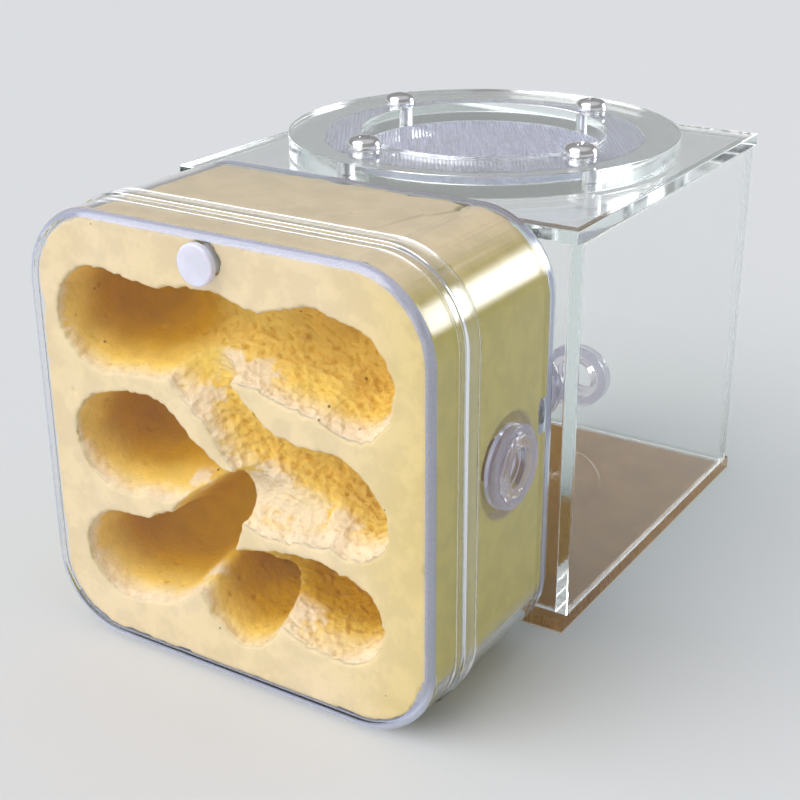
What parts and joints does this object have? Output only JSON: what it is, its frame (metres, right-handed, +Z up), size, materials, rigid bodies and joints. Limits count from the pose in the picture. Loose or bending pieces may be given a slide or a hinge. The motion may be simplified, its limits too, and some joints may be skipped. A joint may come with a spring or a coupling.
{
  "type": "ant habitat",
  "caption": "Clear rounded nest box with a carved plaster gallery block, tube-coupled to a clear foraging box with a vented lift-off lid.",
  "frame": {"origin": "middle of the whole object's box, on the floor", "axes": "+Z up; the galleries look along -Y; +X is to the right as the galleries are seen"},
  "size_m": [0.1068, 0.161, 0.1031],
  "materials": {
    "clear_moulded_plastic": "clear moulded polystyrene, polished",
    "plaster": "matt cast gypsum, amber in the carved galleries",
    "silicone": "translucent bluish white silicone, satin",
    "clear_tube": "clear extruded tube",
    "clear_acrylic": "clear cast sheet with light green sawn edges",
    "brown_acrylic": "clear sheet over brown masking, glossy",
    "masking_sheet": "brown protective paper with a pale edge",
    "steel_mesh": "fine woven stainless wire",
    "steel_screws": "bright plated steel"
  },
  "bodies": {
    "foraging_box": {"base_panel": "brown_acrylic", "base_masking_sheet": "masking_sheet", "front_panel": "clear_acrylic", "rear_panel": "clear_acrylic", "left_panel": "clear_acrylic", "right_panel": "clear_acrylic", "box_link_port": "silicone", "link_tube": "clear_tube", "rear_port": "silicone"},
    "lid": {"lid_panel": "clear_acrylic", "vent_ring": "clear_acrylic", "vent_mesh": "steel_mesh", "vent_screws": "steel_screws"},
    "nest": {"nest_shell": "clear_moulded_plastic", "plaster_block": "plaster", "side_port": "silicone", "nest_link_port": "silicone"},
    "cover": {"front_cover": "clear_moulded_plastic"},
    "plug": {"water_plug": "silicone"}
  },
  "joints": [
    {"name": "lid_lift", "type": "slide", "parent": "foraging_box", "child": "lid", "axis": [0, 0, 1], "range_m": [0, 0.06]},
    {"name": "nest_pull", "type": "slide", "parent": "foraging_box", "child": "nest", "axis": [0, -1, 0], "range_m": [0, 0.04]},
    {"name": "cover_pull", "type": "slide", "parent": "nest", "child": "cover", "axis": [0, -1, 0], "range_m": [0, 0.05]},
    {"name": "plug_pull", "type": "slide", "parent": "cover", "child": "plug", "axis": [0, -1, 0], "range_m": [0, 0.025]}
  ]
}
